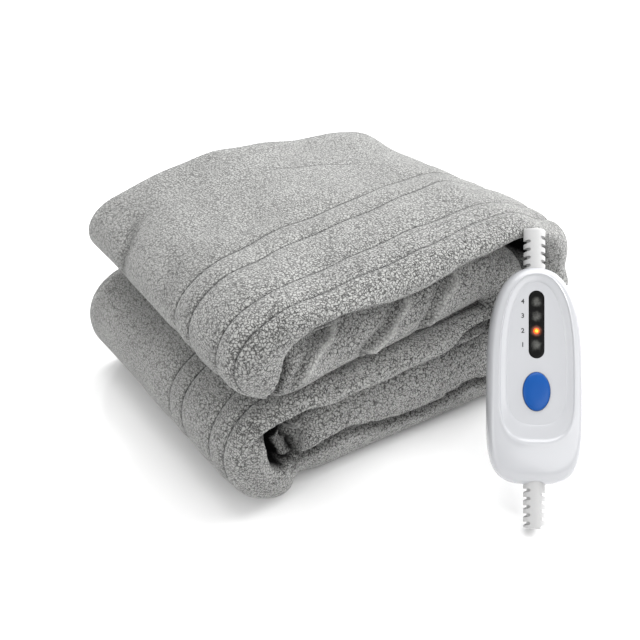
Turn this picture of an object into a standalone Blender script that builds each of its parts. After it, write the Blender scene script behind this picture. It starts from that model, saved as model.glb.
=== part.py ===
"""Electric heated blanket, folded in four passes, with its hand controller leaning on it.

Metres, +Z up.  X runs along the heating channels, Y across them, and the origin is the middle of
the stack's underside.  The blanket is one sheet: folded in half three times across its width into
a strip of six plies, and the strip is then laid back and forth in four passes.
"""
from math import cos, pi, radians, sin

import bmesh
import bpy
import numpy as np
from mathutils import Vector

# Folded blanket
STACK_LENGTH = 0.320        # left bends to right end, along X
STACK_WIDTH = 0.226         # front lips to back edge, along Y
PLY = 0.0052                # thickness of the doubled fleece
PLY_PITCH = 0.0071          # one ply to the next inside the strip
PASS_PITCH = 0.0445         # one pass of the strip to the next
HALF_FOLDS = 3              # folds across the width, one inside the other, two plies each
END_RADIUS = 0.050          # centre line of the top pass where it turns down at the right end
BEND_GAP = 0.004            # right bend to the end that hangs over it
END_CLEARANCE = 0.010       # hanging end to the ground
LIP_FADE = 0.120            # how far in from the front the lips' setbacks reach

OUTER_PLY = (HALF_FOLDS - 0.5) * PLY_PITCH
STRIP_HALF = OUTER_PLY + PLY / 2
BEND_RADIUS = PASS_PITCH / 2
LEFT_BEND = -STACK_LENGTH / 2 + BEND_RADIUS + STRIP_HALF
HANG_FACE = STACK_LENGTH / 2 - 2 * STRIP_HALF
RIGHT_BEND = HANG_FACE - BEND_GAP - BEND_RADIUS - STRIP_HALF
PASS_1_END = HANG_FACE - 1.5 * BEND_GAP
RIGHT_TURN = STACK_LENGTH / 2 - END_RADIUS - STRIP_HALF
UNDERSIDE = PASS_PITCH / 2 - STRIP_HALF

# The strip's centre line in the XZ plane: straight run, then turn (anticlockwise +), on a radius
LENGTHWAYS = (
    # run, turn, radius
    (PASS_1_END - LEFT_BEND, -pi, BEND_RADIUS),
    (RIGHT_BEND - LEFT_BEND, pi, BEND_RADIUS),
    (RIGHT_BEND - LEFT_BEND, -pi, BEND_RADIUS),
    (RIGHT_TURN - LEFT_BEND, -pi / 2, END_RADIUS),
    (3.5 * PASS_PITCH - END_RADIUS - END_CLEARANCE, 0.0, 1.0),
)
# The half folds' front edges behind the outermost one, and their back edges short of the stack's
LIP_INSETS = (0.0, 0.0095, 0.0215)
BACK_INSETS = (0.006, 0.010, 0.012)

# How far the strip's front edge stands back, at places along the strip: (pass, share of its run)
SETBACKS = (
    # pass, share, outer side, inner side
    (0, 0.00, 0.010, 0.010),
    (0, 0.80, 0.011, 0.012),
    (0, 0.93, 0.016, 0.013),
    (0, 1.03, 0.000, 0.006),
    (1, 0.00, 0.001, 0.003),
    (1, 0.25, 0.002, -0.001),
    (1, 1.00, 0.003, 0.001),
    (2, 0.00, 0.004, 0.014),
    (2, 0.80, 0.003, 0.018),
    (2, 1.05, 0.000, 0.006),
    (3, 0.00, 0.000, 0.001),
    (3, 0.30, 0.000, -0.002),
    (3, 1.00, -0.002, -0.003),
    (4, 1.00, 0.003, 0.003),
)
# How high the tops of the four passes lie along the stack's front and back
FRONT_TOPS = (
    # x, pass 1, pass 2, pass 3, pass 4
    (-0.150, 0.052, 0.100, 0.142, 0.184),
    (-0.050, 0.077, 0.101, 0.150, 0.180),
    (-0.005, 0.077, 0.101, 0.1455, 0.180),
    (0.050, 0.077, 0.102, 0.157, 0.180),
    (0.085, 0.077, 0.1055, 0.161, 0.179),
    (0.150, 0.077, 0.106, 0.151, 0.165),
)
BACK_TOPS = (
    # x, pass 1, pass 2, pass 3, pass 4
    (-0.120, 0.052, 0.098, 0.134, 0.166),
    (-0.020, 0.049, 0.095, 0.137, 0.1765),
    (0.080, 0.045, 0.089, 0.130, 0.163),
    (0.150, 0.043, 0.087, 0.127, 0.160),
)
# Mesh steps of the cloth solid
RUN_STEP = 0.045
BEND_STEPS = 8
END_STEPS = 5
PLY_STEP = 0.055
LIP_STEPS = (8, 6, 4)
BACK_FOLD_STEPS = 3

# Controller, in its own frame: Y up its length from the foot, Z out of its face
CONTROLLER_FOOT = (0.0158, -0.2371)
CONTROLLER_FOOT_HEIGHT = 0.0049    # middle of its lower end, whose edge stands on the ground
CONTROLLER_TURN = 37.2      # degrees its back faces round from +Y towards +X
CONTROLLER_LEAN = 40.8      # degrees back from upright
BODY_LENGTH = 0.162
BODY_HALF_WIDTH = 0.0357
WIDEST = 0.44               # share of the body's length below its widest place
LOWER_RELIEF = 0.0322       # lengths of the strain reliefs that stand out of the body
UPPER_RELIEF = 0.0294
RELIEF_RADIUS = 0.0081
RELIEF_SEAT = 0.007         # depth that a relief goes into the body
WALL = 0.002
FIT = 0.0003                # clearance between neighbouring pieces
PARTING = FIT / 2
RIM_TOP = 0.0140            # heights over the parting plane
DISH_FLOOR = 0.0112
BACK_DEPTH = 0.0140
AROUND = 44                 # points round an outline

# Outlines: share of the body's length at bottom, widest and top, half width, powers below and above
OUTLINES = {
    # name: bottom, widest, top, half width, (power along, power across) below, above
    "body": (0.0, WIDEST, 1.0, BODY_HALF_WIDTH, (5.0, 3.3), (3.0, 2.3)),
    "dish": (0.194, 0.457, 0.965, 0.0277, (3.6, 3.0), (3.0, 2.3)),
    "floor": (0.277, 0.457, 0.925, 0.0215, (3.2, 2.8), (3.0, 2.3)),
    "back": (0.16, WIDEST, 0.86, 0.0225, (4.0, 3.0), (3.0, 2.3)),
}
WINDOW_HEIGHT = 0.732       # share of the body's length
WINDOW_LENGTH = 0.0500
WINDOW_WIDTH = 0.0112
WINDOW_RECESS = 0.0004
LAMP_HEIGHT = 0.702
LAMP_RADIUS = 0.0022
BUTTON_HEIGHT = 0.425
BUTTON_WIDTH = 0.0202
BUTTON_LENGTH = 0.0286
BUTTON_CROWN = 0.0026
FLANGE = 0.0012             # how far window and button reach under the face
FLANGE_THICKNESS = 0.0012
SLOT_PITCH = 0.00605
SLOT_WIDTH = 0.0026
SLOT_DEPTH = 0.0045
FIRST_SLOTS = (0.0026, 0.0056)   # first slot on the left and right, from the body


def remove_everything():
    for thing in list(bpy.data.objects):
        bpy.data.objects.remove(thing)


def make_material(name, colour, roughness, metallic=0.0, glow=None):
    material = bpy.data.materials.new(name)
    material.use_nodes = True
    shader = material.node_tree.nodes["Principled BSDF"]
    shader.inputs["Base Color"].default_value = (*colour, 1.0)
    shader.inputs["Roughness"].default_value = roughness
    shader.inputs["Metallic"].default_value = metallic
    if glow:
        shader.inputs["Emission Color"].default_value = (*glow, 1.0)
        shader.inputs["Emission Strength"].default_value = 2.0
    return material


def make_object(name, mesh, material, parent=None, location=(0.0, 0.0, 0.0), sharp=35.0):
    mesh.materials.clear()
    mesh.materials.append(material)
    mesh.shade_smooth()
    mesh.set_sharp_from_angle(angle=radians(sharp))
    piece = bpy.data.objects.new(name, mesh)
    bpy.context.collection.objects.link(piece)
    piece.parent = parent
    piece.location = location
    return piece


# ---- cloth ----------------------------------------------------------------------------------

def ease(value, low, high):
    """0 below low, 1 above high, and a smooth rise between."""
    share = np.clip((value - low) / (high - low), 0.0, 1.0)
    return share * share * (3.0 - 2.0 * share)


def smooth_table(value, places, heights):
    """A smooth curve through heights at places."""
    result = np.full(np.shape(value), heights[0], dtype=float)
    for first, last, low, high in zip(places, places[1:], heights, heights[1:]):
        result = result + (high - low) * ease(value, first, last)
    return result


def follow(distance, start, heading, legs):
    """Points and left-hand normals at distances along straight runs joined by arcs."""
    along, up = np.zeros_like(distance), np.zeros_like(distance)
    normal_along, normal_up = np.zeros_like(distance), np.zeros_like(distance)
    (here, height), angle, done = start, heading, 0.0
    for number, (run, turn, radius) in enumerate(legs):
        on_leg = (distance >= done) | (number == 0)
        along = np.where(on_leg, here + (distance - done) * cos(angle), along)
        up = np.where(on_leg, height + (distance - done) * sin(angle), up)
        normal_along = np.where(on_leg, -sin(angle), normal_along)
        normal_up = np.where(on_leg, cos(angle), normal_up)
        here, height, done = here + run * cos(angle), height + run * sin(angle), done + run
        if not turn:
            continue
        side = 1.0 if turn > 0.0 else -1.0
        centre = here - side * radius * sin(angle), height + side * radius * cos(angle)
        on_arc = distance >= done
        now = angle + side * np.clip((distance - done) / radius, 0.0, abs(turn))
        along = np.where(on_arc, centre[0] + side * radius * np.sin(now), along)
        up = np.where(on_arc, centre[1] - side * radius * np.cos(now), up)
        normal_along = np.where(on_arc, -np.sin(now), normal_along)
        normal_up = np.where(on_arc, np.cos(now), normal_up)
        angle, done = angle + turn, done + abs(turn) * radius
        here, height = centre[0] + side * radius * sin(angle), centre[1] - side * radius * cos(angle)
    return along, up, normal_along, normal_up


def crosswise_legs():
    """The sheet's section across the strip, in from the back edge: lips in front, folds behind."""
    legs, way = [], 1.0
    back = STACK_WIDTH - PLY / 2
    edge = back
    for fold, inset in enumerate(LIP_INSETS):
        radius = (HALF_FOLDS - 0.5 - fold) * PLY_PITCH
        lip_centre = PLY / 2 + inset + radius
        legs.append((edge - lip_centre, way * pi, radius))
        last = fold == HALF_FOLDS - 1
        edge = back - BACK_INSETS[fold] - (0.0 if last else PLY_PITCH / 2)
        legs.append((edge - lip_centre, 0.0 if last else way * pi, PLY_PITCH / 2))
        way = -way
    return legs


def stations(legs, run_step, arc_steps):
    """Distances along the legs at which rows or columns of the mesh stand."""
    places, done = [0.0], 0.0
    for (run, turn, radius), steps in zip(legs, arc_steps):
        count = max(1, round(run / run_step))
        places += [done + run * (step + 1) / count for step in range(count)]
        done += run
        if turn:
            places += [done + abs(turn) * radius * (step + 1) / steps for step in range(steps)]
            done += abs(turn) * radius
    return np.array(places)


def leg_ranges(legs):
    """Where each leg's straight run starts, and how long it is."""
    ranges, done = [], 0.0
    for run, turn, radius in legs:
        ranges.append((done, run))
        done += run + abs(turn) * radius
    return ranges


def set_lips_back(along, across, through):
    """Moves the strip's front edge in from the stack's front, as the setback table says."""
    ranges = leg_ranges(LENGTHWAYS)
    places = [ranges[row[0]][0] + row[1] * ranges[row[0]][1] for row in SETBACKS]
    outer = smooth_table(along, places, [row[2] for row in SETBACKS])
    inner = smooth_table(along, places, [row[3] for row in SETBACKS])
    outer_share = 0.5 + 0.5 * through / STRIP_HALF
    setback = outer * outer_share + inner * (1.0 - outer_share)
    return across + setback * (1.0 - ease(across, 0.0, LIP_FADE))


def settle(x, y, z):
    """The neat stack's points moved to where the soft one lies."""
    half_length, half_width = STACK_LENGTH / 2, STACK_WIDTH / 2
    upper = ease(z, 1.8 * PASS_PITCH, 2.2 * PASS_PITCH)
    # the left bends are drawn out lengthways, the upper one more
    x = x + (0.0085 + 0.0085 * upper) * np.exp(-((x - LEFT_BEND - 0.004) / 0.036) ** 2)
    right = ease(x, -half_length, half_length)
    left = 1.0 - ease(x, -half_length, -0.02)
    back = ease(y, -half_width, half_width)
    # plan: the lower bundle's front runs askew, the back spreads at the left, both ends lean in
    front_shift = (0.006 * (1.0 - right) - 0.008 * right) * (1.0 - upper)
    y = y + front_shift * (1.0 - back) + 0.021 * (1.0 - right) * back
    x = x + (0.012 * upper + 0.005 * (1.0 - upper)) * back * left - 0.010 * back * right
    x = x + 0.008 * np.exp(-((z - 0.089) / 0.012) ** 2) * back * left
    # the hanging end swells below its turn, and its front corner is slack
    hanging = ease(x, 0.09, 0.15)
    x = x + hanging * 0.005 * np.exp(-((z - 0.115) / 0.035) ** 2)
    slack = np.exp(-((x - 0.152) ** 2 + (z - 0.163) ** 2) / 0.032 ** 2) * (1.0 - ease(y, -0.113, -0.030))
    x, z = x - 0.009 * slack, z - 0.008 * slack
    # heights of the passes
    levels = [UNDERSIDE] + [PASS_PITCH * number for number in range(1, 5)]
    height = np.zeros_like(z)
    below = np.zeros_like(z)
    for number, (low, high) in enumerate(zip(levels, levels[1:]), 1):
        front_top = smooth_table(x, [row[0] for row in FRONT_TOPS], [row[number] for row in FRONT_TOPS])
        back_top = smooth_table(x, [row[0] for row in BACK_TOPS], [row[number] for row in BACK_TOPS])
        top = front_top + (back_top - front_top) * back
        height = height + (top - below) * np.clip((z - low) / (high - low), 0.0, 1.0)
        below = top
    return x, y, height


def blanket_mesh():
    crosswise = crosswise_legs()
    arc_steps = (BEND_STEPS, BEND_STEPS, BEND_STEPS, END_STEPS, 0)
    rows = stations(LENGTHWAYS, RUN_STEP, arc_steps)
    fold_steps = [steps for lip in LIP_STEPS for steps in (lip, BACK_FOLD_STEPS)]
    columns = stations(crosswise, PLY_STEP, fold_steps)
    section = follow(columns, (STACK_WIDTH - PLY / 2, OUTER_PLY), pi, crosswise)
    faces_of_cloth = []
    for side in (-1.0, 1.0):
        across = section[0] + side * section[2] * PLY / 2
        through = section[1] + side * section[3] * PLY / 2
        along, across = np.meshgrid(rows, across, indexing="ij")
        through = np.broadcast_to(through, along.shape)
        across = set_lips_back(along, across, through)
        x, z, out_x, out_z = follow(along, (PASS_1_END, PASS_PITCH / 2), pi, LENGTHWAYS)
        x, y, z = settle(x + out_x * through, across - STACK_WIDTH / 2, z + out_z * through)
        faces_of_cloth.append(np.stack([x, y, z], axis=-1))
    return closed_sheet(*faces_of_cloth)


def closed_sheet(front, back):
    """One closed mesh from the two faces of a sheet, each a grid of points."""
    mesh_points = np.concatenate([front.reshape(-1, 3), back.reshape(-1, 3)])
    row_count, column_count = front.shape[:2]
    number = np.arange(row_count * column_count).reshape(row_count, column_count)
    offset = number.size
    corners = number[:-1, :-1], number[:-1, 1:], number[1:, 1:], number[1:, :-1]
    quads = [np.stack(corners, axis=-1).reshape(-1, 4),
             np.stack(corners[::-1], axis=-1).reshape(-1, 4) + offset]
    for edge in (number[0, ::-1], number[-1], number[:, 0], number[::-1, -1]):
        rim = edge[:-1], edge[1:], edge[1:] + offset, edge[:-1] + offset
        quads.append(np.stack(rim, axis=-1))
    mesh = bpy.data.meshes.new("blanket")
    mesh.from_pydata(mesh_points.tolist(), [], np.concatenate(quads).tolist())
    return mesh


# ---- controller -----------------------------------------------------------------------------

def body_y(share):
    """Height up the controller at a share of its body's length."""
    return LOWER_RELIEF + share * BODY_LENGTH


def outline(name, inset=0.0):
    """Evenly spaced points round an egg-shaped outline, anticlockwise from its right side."""
    bottom, widest, top, half_width, below, above = OUTLINES[name]
    fine = np.linspace(0.0, 2.0 * pi, 1441)
    x, y = [], []
    for angle in fine:
        upper = sin(angle) >= 0.0
        power_along, power_across = above if upper else below
        reach = abs(top - widest if upper else widest - bottom) * BODY_LENGTH - inset
        across = (half_width - inset) * abs(cos(angle)) ** (2.0 / power_across)
        along = reach * abs(sin(angle)) ** (2.0 / power_along)
        x.append(across if cos(angle) >= 0.0 else -across)
        y.append(body_y(widest) + (along if upper else -along))
    steps = np.hypot(np.diff(x), np.diff(y))
    length = np.concatenate([[0.0], np.cumsum(steps)])
    places = np.linspace(0.0, length[-1], AROUND, endpoint=False)
    return np.stack([np.interp(places, length, x), np.interp(places, length, y)], axis=-1)


def rings_between(first, last, rows, inset=0.0, drop=0.0):
    """Rings from one outline to the next; each row is the share of the way and the height."""
    start, end = outline(first, inset), outline(last, inset)
    return [[(x, y, height - drop) for x, y in start + (end - start) * share]
            for share, height in rows]


def bridged(name, rings):
    """A closed mesh over a stack of rings, its first and last rings filled."""
    mesh_maker = bmesh.new()
    loops = [[mesh_maker.verts.new(point) for point in ring] for ring in rings]
    for low, high in zip(loops, loops[1:]):
        for number in range(len(low)):
            after = (number + 1) % len(low)
            mesh_maker.faces.new((low[number], low[after], high[after], high[number]))
    mesh_maker.faces.new(loops[0][::-1])
    mesh_maker.faces.new(loops[-1])
    bmesh.ops.recalc_face_normals(mesh_maker, faces=mesh_maker.faces)
    mesh = bpy.data.meshes.new(name)
    mesh_maker.to_mesh(mesh)
    mesh_maker.free()
    return mesh


def shell(name, outer, inner):
    """A hollow shell: outer rings from the parting line to the middle, and inner rings back out."""
    mesh_maker = bmesh.new()
    loops = [[mesh_maker.verts.new(point) for point in ring] for ring in outer + inner[::-1]]
    for number, (low, high) in enumerate(zip(loops, loops[1:])):
        if number == len(outer) - 1:
            mesh_maker.faces.new(low)
            mesh_maker.faces.new(high[::-1])
            continue
        for point in range(AROUND):
            after = (point + 1) % AROUND
            mesh_maker.faces.new((low[point], low[after], high[after], high[point]))
    for point in range(AROUND):
        after = (point + 1) % AROUND
        mesh_maker.faces.new((loops[-1][point], loops[-1][after], loops[0][after], loops[0][point]))
    bmesh.ops.recalc_face_normals(mesh_maker, faces=mesh_maker.faces)
    mesh = bpy.data.meshes.new(name)
    mesh_maker.to_mesh(mesh)
    mesh_maker.free()
    return mesh


def oval(half_width, half_length, count=32):
    angles = [2.0 * pi * number / count for number in range(count)]
    return [(half_width * cos(angle), half_length * sin(angle)) for angle in angles]


def stadium(half_width, half_length, count=28):
    """A slot's outline: straight sides and round ends."""
    straight = half_length - half_width
    points = []
    for number in range(count):
        angle = 2.0 * pi * (number + 0.5) / count
        shift = straight if sin(angle) > 0.0 else -straight
        points.append((half_width * cos(angle), shift + half_width * sin(angle)))
    return points


def at_height(outline_points, height):
    return [(x, y, height) for x, y in outline_points]


def make_cutter(name, mesh, parent, location=(0.0, 0.0, 0.0), rotation=(0.0, 0.0, 0.0)):
    tool = bpy.data.objects.new(name, mesh)
    bpy.context.collection.objects.link(tool)
    tool.parent = parent
    tool.location = location
    tool.rotation_euler = rotation
    tool.hide_render = True
    tool.display_type = "WIRE"
    return tool


def cut(piece, tool):
    boolean = piece.modifiers.new(tool.name, "BOOLEAN")
    boolean.operation = "DIFFERENCE"
    boolean.solver = "EXACT"
    boolean.object = tool


def make_front_shell(controller, material):
    wall_rows = [(0.0, PARTING), (0.02, 0.0045), (0.09, 0.0082), (0.24, 0.0113), (0.50, 0.0132),
                 (0.82, RIM_TOP), (1.0, 0.0137)]
    dish_rows = [(0.30, 0.0128), (0.68, 0.0117), (1.0, DISH_FLOOR)]
    outer = rings_between("body", "dish", wall_rows) + rings_between("dish", "floor", dish_rows)
    inner_rows = [(0.02, PARTING), (0.04, 0.0060), (0.16, 0.0092), (0.45, 0.0112), (0.90, 0.0118)]
    inner = rings_between("body", "dish", inner_rows, inset=WALL)
    inner += rings_between("dish", "floor", [(1.0, DISH_FLOOR - WALL)], inset=WALL / 2)
    return make_object("housing_front", shell("housing_front", outer, inner), material, controller)


def make_back_shell(controller, material):
    rows = [(0.0, -PARTING), (0.03, -0.0050), (0.14, -0.0095), (0.38, -0.0127), (0.70, -0.0138),
            (1.0, -BACK_DEPTH)]
    inner_rows = [(0.02, -PARTING), (0.08, -0.0062), (0.30, -0.0100), (0.62, -0.0116),
                  (1.0, WALL - BACK_DEPTH)]
    outer = rings_between("body", "back", rows)
    inner = rings_between("body", "back", inner_rows, inset=WALL)
    return make_object("housing_back", shell("housing_back", outer, inner), material, controller)


def cut_face_openings(front_shell, controller):
    top = RIM_TOP + 0.005
    low = DISH_FLOOR - 2.0 * WALL
    half_width, half_length = WINDOW_WIDTH / 2 + FIT, WINDOW_LENGTH / 2 + FIT
    slot = stadium(half_width, half_length)
    slot_mesh = bridged("window_cutter", [at_height(slot, low), at_height(slot, top)])
    cut(front_shell, make_cutter("window_cutter", slot_mesh, controller,
                                 (0.0, body_y(WINDOW_HEIGHT), 0.0)))
    hole = oval(BUTTON_WIDTH / 2 + FIT, BUTTON_LENGTH / 2 + FIT)
    hole_mesh = bridged("button_cutter", [at_height(hole, low), at_height(hole, top)])
    cut(front_shell, make_cutter("button_cutter", hole_mesh, controller,
                                 (0.0, body_y(BUTTON_HEIGHT), 0.0)))


def cut_relief_seats(shells, controller):
    """A round seat for a strain relief at each end of the body."""
    seat = RELIEF_RADIUS + FIT
    circle = oval(seat, seat, 28)
    length = RELIEF_SEAT + FIT
    for name, low in (("lower_seat", LOWER_RELIEF - 0.004),
                      ("upper_seat", LOWER_RELIEF + BODY_LENGTH - length)):
        rings = [at_height(circle, 0.0), at_height(circle, length + 0.004)]
        tool = make_cutter(name, bridged(name, rings), controller, (0.0, low, 0.0),
                           (-pi / 2, 0.0, 0.0))
        for piece in shells:
            cut(piece, tool)


def make_window(controller, material):
    face = DISH_FLOOR - WINDOW_RECESS
    flange_top = DISH_FLOOR - WALL - FIT
    half_width, half_length = WINDOW_WIDTH / 2, WINDOW_LENGTH / 2
    flange = stadium(half_width + FLANGE, half_length + FLANGE)
    insert = stadium(half_width, half_length)
    edge = stadium(half_width - 0.0008, half_length - 0.0008)
    rings = [at_height(flange, flange_top - FLANGE_THICKNESS), at_height(flange, flange_top),
             at_height(insert, flange_top), at_height(insert, face - 0.0004), at_height(edge, face)]
    window = make_object("display_window", bridged("display_window", rings), material, controller,
                         (0.0, body_y(WINDOW_HEIGHT), 0.0))
    pocket = oval(LAMP_RADIUS + FIT, LAMP_RADIUS + FIT, 20)
    pocket_mesh = bridged("lamp_pocket", [at_height(pocket, face - 0.0018), at_height(pocket, face + 0.002)])
    cut(window, make_cutter("lamp_pocket", pocket_mesh, controller,
                            (0.0, body_y(LAMP_HEIGHT), 0.0)))


def make_lamp(controller, material):
    face = DISH_FLOOR - WINDOW_RECESS
    rows = [(1.0, -0.0015), (1.0, -0.0001), (0.86, 0.0003), (0.5, 0.0007), (0.12, 0.0008)]
    rings = [at_height(oval(LAMP_RADIUS * share, LAMP_RADIUS * share, 20), face + height)
             for share, height in rows]
    make_object("power_lamp", bridged("power_lamp", rings), material, controller,
                (0.0, body_y(LAMP_HEIGHT), 0.0))


def make_button(controller, material):
    """The button's origin is where its travel's axis leaves the dish."""
    flange_top = -WALL - FIT
    half_width, half_length = BUTTON_WIDTH / 2, BUTTON_LENGTH / 2
    crown_rows = [(1.0, 0.0004), (0.97, 0.0011), (0.86, 0.0018), (0.62, 0.0023), (0.30, BUTTON_CROWN)]
    rings = [at_height(oval(half_width + FLANGE, half_length + FLANGE), flange_top - FLANGE_THICKNESS),
             at_height(oval(half_width + FLANGE, half_length + FLANGE), flange_top),
             at_height(oval(half_width, half_length), flange_top)]
    rings += [at_height(oval(half_width * share, half_length * share), height)
              for share, height in crown_rows]
    make_object("power_button", bridged("power_button", rings), material, controller,
                (0.0, body_y(BUTTON_HEIGHT), DISH_FLOOR), sharp=50.0)


def make_relief(name, base, way, length, slots, controller, material):
    """A slotted sleeve along the controller's Y; way is +1 up from the base, -1 down."""
    rows = [(1.0, -RELIEF_SEAT), (1.0, length - 0.0016), (0.93, length - 0.0005), (0.80, length)]
    rings = [at_height(oval(RELIEF_RADIUS * share, RELIEF_RADIUS * share, 28), height)
             for share, height in rows]
    tilt = -way * pi / 2
    relief = make_object(name, bridged(name, rings), material, controller, (0.0, base, 0.0))
    relief.rotation_euler = (tilt, 0.0, 0.0)
    for side, first in zip((-1.0, 1.0), FIRST_SLOTS):
        for number in range(slots):
            height = first + number * SLOT_PITCH
            slot = [(x * side, y) for x, y in slot_outline()][::int(side)]
            rings = [at_height(slot, -2.0 * RELIEF_RADIUS), at_height(slot, 2.0 * RELIEF_RADIUS)]
            tool_name = f"{name}_slot_{number}_{'left' if side < 0 else 'right'}"
            tool = make_cutter(tool_name, bridged(tool_name, rings), controller,
                               (0.0, base + way * height, 0.0))
            cut(relief, tool)


def slot_outline():
    """A slot that comes in from the side and ends round, in the controller's XY plane."""
    half = SLOT_WIDTH / 2
    inner = RELIEF_RADIUS - SLOT_DEPTH + half
    outer = RELIEF_RADIUS + 0.002
    arc = [(inner - half * sin(angle), half * cos(angle)) for angle in np.linspace(0.0, pi, 7)]
    return [(outer, half)] + arc + [(outer, -half)]


def main():
    remove_everything()
    fleece = make_material("grey fleece", (0.42, 0.42, 0.41), 0.95)
    white_gloss = make_material("white gloss plastic", (0.76, 0.76, 0.78), 0.22)
    white_soft = make_material("white soft plastic", (0.72, 0.72, 0.71), 0.5)
    dark_window = make_material("dark window plastic", (0.02, 0.02, 0.02), 0.12)
    amber = make_material("amber lamp", (0.9, 0.25, 0.02), 0.3, glow=(1.0, 0.35, 0.03))
    blue = make_material("blue gloss plastic", (0.01, 0.1, 0.42), 0.15)

    make_object("blanket", blanket_mesh(), fleece, sharp=60.0)

    controller = bpy.data.objects.new("controller", None)
    bpy.context.collection.objects.link(controller)
    lean = radians(CONTROLLER_LEAN)
    controller.location = (*CONTROLLER_FOOT, CONTROLLER_FOOT_HEIGHT)
    controller.rotation_euler = (pi / 2 - lean, 0.0, -radians(CONTROLLER_TURN))

    front_shell = make_front_shell(controller, white_gloss)
    back_shell = make_back_shell(controller, white_gloss)
    cut_face_openings(front_shell, controller)
    cut_relief_seats((front_shell, back_shell), controller)
    make_window(controller, dark_window)
    make_lamp(controller, amber)
    make_button(controller, blue)
    make_relief("lower_relief", LOWER_RELIEF, -1.0, LOWER_RELIEF, 5, controller, white_soft)
    make_relief("upper_relief", LOWER_RELIEF + BODY_LENGTH, 1.0, UPPER_RELIEF, 4, controller,
                white_soft)


main()
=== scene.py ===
"""Electric heated blanket: a doubled grey fleece throw, folded small, with its hand controller.

Metres, +Z up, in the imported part's own frame: X along the heating channels, Y across them.
"""
from math import cos, pi, radians, sin

import bmesh
import bpy
import numpy as np
from mathutils import Matrix, Vector


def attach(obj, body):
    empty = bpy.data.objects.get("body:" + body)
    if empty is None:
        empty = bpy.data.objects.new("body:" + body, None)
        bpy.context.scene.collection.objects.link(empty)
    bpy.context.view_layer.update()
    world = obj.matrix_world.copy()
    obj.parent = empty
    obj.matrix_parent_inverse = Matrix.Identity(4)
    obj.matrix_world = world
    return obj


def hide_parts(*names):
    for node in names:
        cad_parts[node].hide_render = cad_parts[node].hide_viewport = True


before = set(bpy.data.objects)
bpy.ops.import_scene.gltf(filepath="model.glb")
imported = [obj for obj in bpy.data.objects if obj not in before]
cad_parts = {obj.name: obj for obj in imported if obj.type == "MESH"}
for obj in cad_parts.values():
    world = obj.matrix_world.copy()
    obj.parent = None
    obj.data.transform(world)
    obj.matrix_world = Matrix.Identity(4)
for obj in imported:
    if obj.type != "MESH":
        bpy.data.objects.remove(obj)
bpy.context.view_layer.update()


# ==== Blanket ====
# Two layers of plush fleece sewn together along the heating channels, 1.2 x 1.26 m as folded here.
# Folded in half three times across its width into a strip of six plies; the strip is laid back
# and forth in four passes, and its end comes down over the right side of the stack.

STACK_LENGTH = 0.320        # left bends to right end, along X
STACK_WIDTH = 0.226         # front lips to back edge, along Y
PLY = 0.0052                # thickness of the doubled fleece
PLY_PITCH = 0.0071          # one ply to the next inside the strip
PASS_PITCH = 0.0445         # one pass of the strip to the next
HALF_FOLDS = 3              # folds across the width, one inside the other, two plies each
END_RADIUS = 0.050          # centre line of the top pass where it turns down at the right end
BEND_GAP = 0.004            # right bend to the end that hangs over it
END_CLEARANCE = 0.010       # hanging end to the ground
LIP_FADE = 0.120            # how far in from the front the lips' setbacks reach

OUTER_PLY = (HALF_FOLDS - 0.5) * PLY_PITCH
STRIP_HALF = OUTER_PLY + PLY / 2
BEND_RADIUS = PASS_PITCH / 2
LEFT_BEND = -STACK_LENGTH / 2 + BEND_RADIUS + STRIP_HALF
HANG_FACE = STACK_LENGTH / 2 - 2 * STRIP_HALF
RIGHT_BEND = HANG_FACE - BEND_GAP - BEND_RADIUS - STRIP_HALF
PASS_1_END = HANG_FACE - 1.5 * BEND_GAP
RIGHT_TURN = STACK_LENGTH / 2 - END_RADIUS - STRIP_HALF
UNDERSIDE = PASS_PITCH / 2 - STRIP_HALF

# The strip's centre line in the XZ plane: straight run, then turn (anticlockwise +), on a radius
LENGTHWAYS = (
    # run, turn, radius
    (PASS_1_END - LEFT_BEND, -pi, BEND_RADIUS),
    (RIGHT_BEND - LEFT_BEND, pi, BEND_RADIUS),
    (RIGHT_BEND - LEFT_BEND, -pi, BEND_RADIUS),
    (RIGHT_TURN - LEFT_BEND, -pi / 2, END_RADIUS),
    (3.5 * PASS_PITCH - END_RADIUS - END_CLEARANCE, 0.0, 1.0),
)
# The half folds' front edges behind the outermost one, and their back edges short of the stack's
LIP_INSETS = (0.0, 0.0095, 0.0215)
BACK_INSETS = (0.006, 0.010, 0.012)

# How far the strip's front edge stands back, at places along the strip: (pass, share of its run)
SETBACKS = (
    # pass, share, outer side, inner side
    (0, 0.00, 0.010, 0.006),
    (0, 0.80, 0.011, 0.007),
    (0, 0.93, 0.016, 0.008),
    (0, 1.03, 0.000, 0.006),
    (1, 0.00, 0.001, 0.003),
    (1, 0.25, 0.002, -0.001),
    (1, 1.00, 0.003, 0.001),
    (2, 0.00, 0.004, 0.014),
    (2, 0.80, 0.003, 0.018),
    (2, 1.05, 0.000, 0.006),
    (3, 0.00, 0.000, 0.001),
    (3, 0.30, 0.000, -0.002),
    (3, 1.00, -0.002, -0.003),
    (4, 1.00, 0.003, 0.003),
)
# How high the tops of the four passes lie along the stack's front and back
FRONT_TOPS = (
    # x, pass 1, pass 2, pass 3, pass 4
    (-0.150, 0.052, 0.100, 0.142, 0.184),
    (-0.050, 0.077, 0.101, 0.150, 0.180),
    (-0.005, 0.077, 0.101, 0.1455, 0.180),
    (0.050, 0.077, 0.102, 0.157, 0.180),
    (0.085, 0.077, 0.1055, 0.161, 0.179),
    (0.150, 0.077, 0.106, 0.151, 0.165),
)
BACK_TOPS = (
    # x, pass 1, pass 2, pass 3, pass 4
    (-0.120, 0.052, 0.098, 0.134, 0.166),
    (-0.020, 0.049, 0.095, 0.137, 0.1765),
    (0.080, 0.045, 0.089, 0.130, 0.163),
    (0.150, 0.043, 0.087, 0.127, 0.160),
)
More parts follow.
